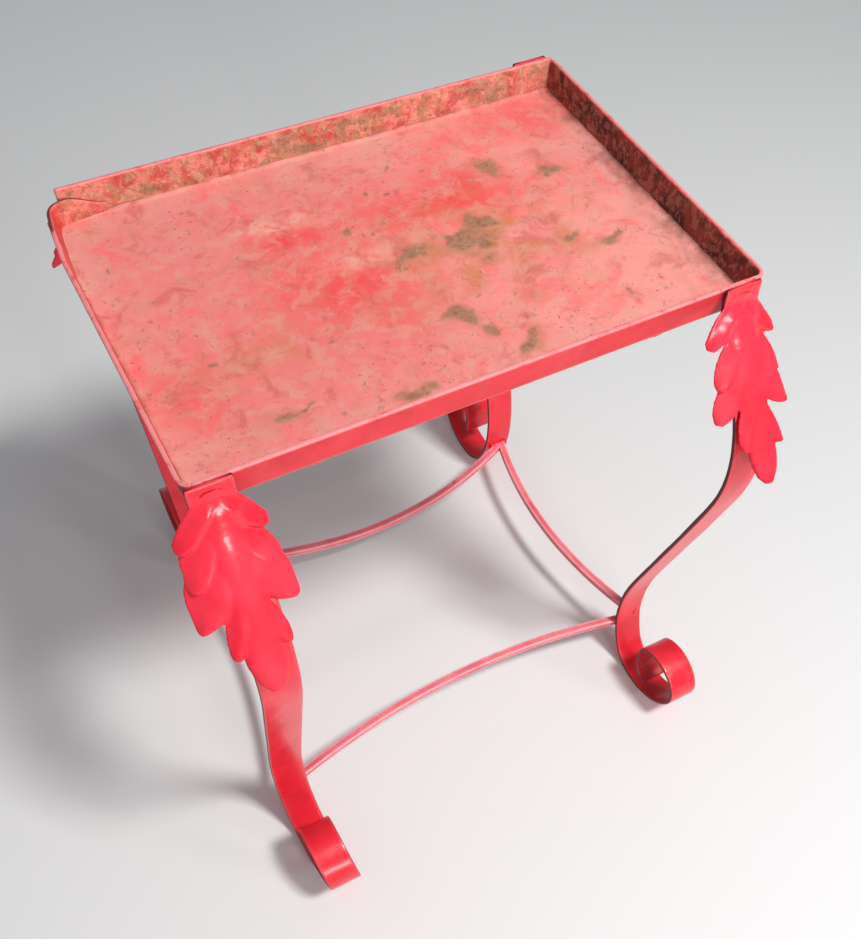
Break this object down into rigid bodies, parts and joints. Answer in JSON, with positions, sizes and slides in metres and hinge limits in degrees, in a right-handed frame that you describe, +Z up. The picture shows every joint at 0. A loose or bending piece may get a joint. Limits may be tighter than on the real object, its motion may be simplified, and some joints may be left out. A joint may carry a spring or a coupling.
{
  "type": "plant stand",
  "caption": "Rectangular tray-top plant stand in painted wrought iron, with S-curved flat-bar legs, scrolled feet, acanthus-leaf knees and ankle stretchers bowed inward.",
  "frame": {"origin": "on the floor, under the centre of the tray", "axes": "+X along the long side, +Y toward the back, +Z up"},
  "size_m": [0.3804, 0.4068, 0.422],
  "materials": {
    "rail_paint": "worn gloss enamel",
    "tray_paint": "faded, rust-stained enamel",
    "leg_paint": "gloss enamel",
    "leaf_paint": "thick gloss enamel",
    "stretcher_paint": "dull, weathered enamel",
    "weld_paint": "painted weld bead"
  },
  "bodies": {
    "root": {"front_rail": "rail_paint", "back_rail": "rail_paint", "left_rail": "rail_paint", "right_rail": "rail_paint", "tray_panel": "tray_paint", "front_left_leg": "leg_paint", "front_right_leg": "leg_paint", "back_left_leg": "leg_paint", "back_right_leg": "leg_paint", "front_left_leaf": "leaf_paint", "front_right_leaf": "leaf_paint", "back_left_leaf": "leaf_paint", "back_right_leaf": "leaf_paint", "front_stretcher": "stretcher_paint", "back_stretcher": "stretcher_paint", "left_stretcher": "stretcher_paint", "right_stretcher": "stretcher_paint", "corner_welds": "weld_paint", "leg_top_welds": "weld_paint", "stretcher_welds": "weld_paint", "leaf_welds": "weld_paint", "panel_tack_welds": "weld_paint"}
  },
  "joints": []
}
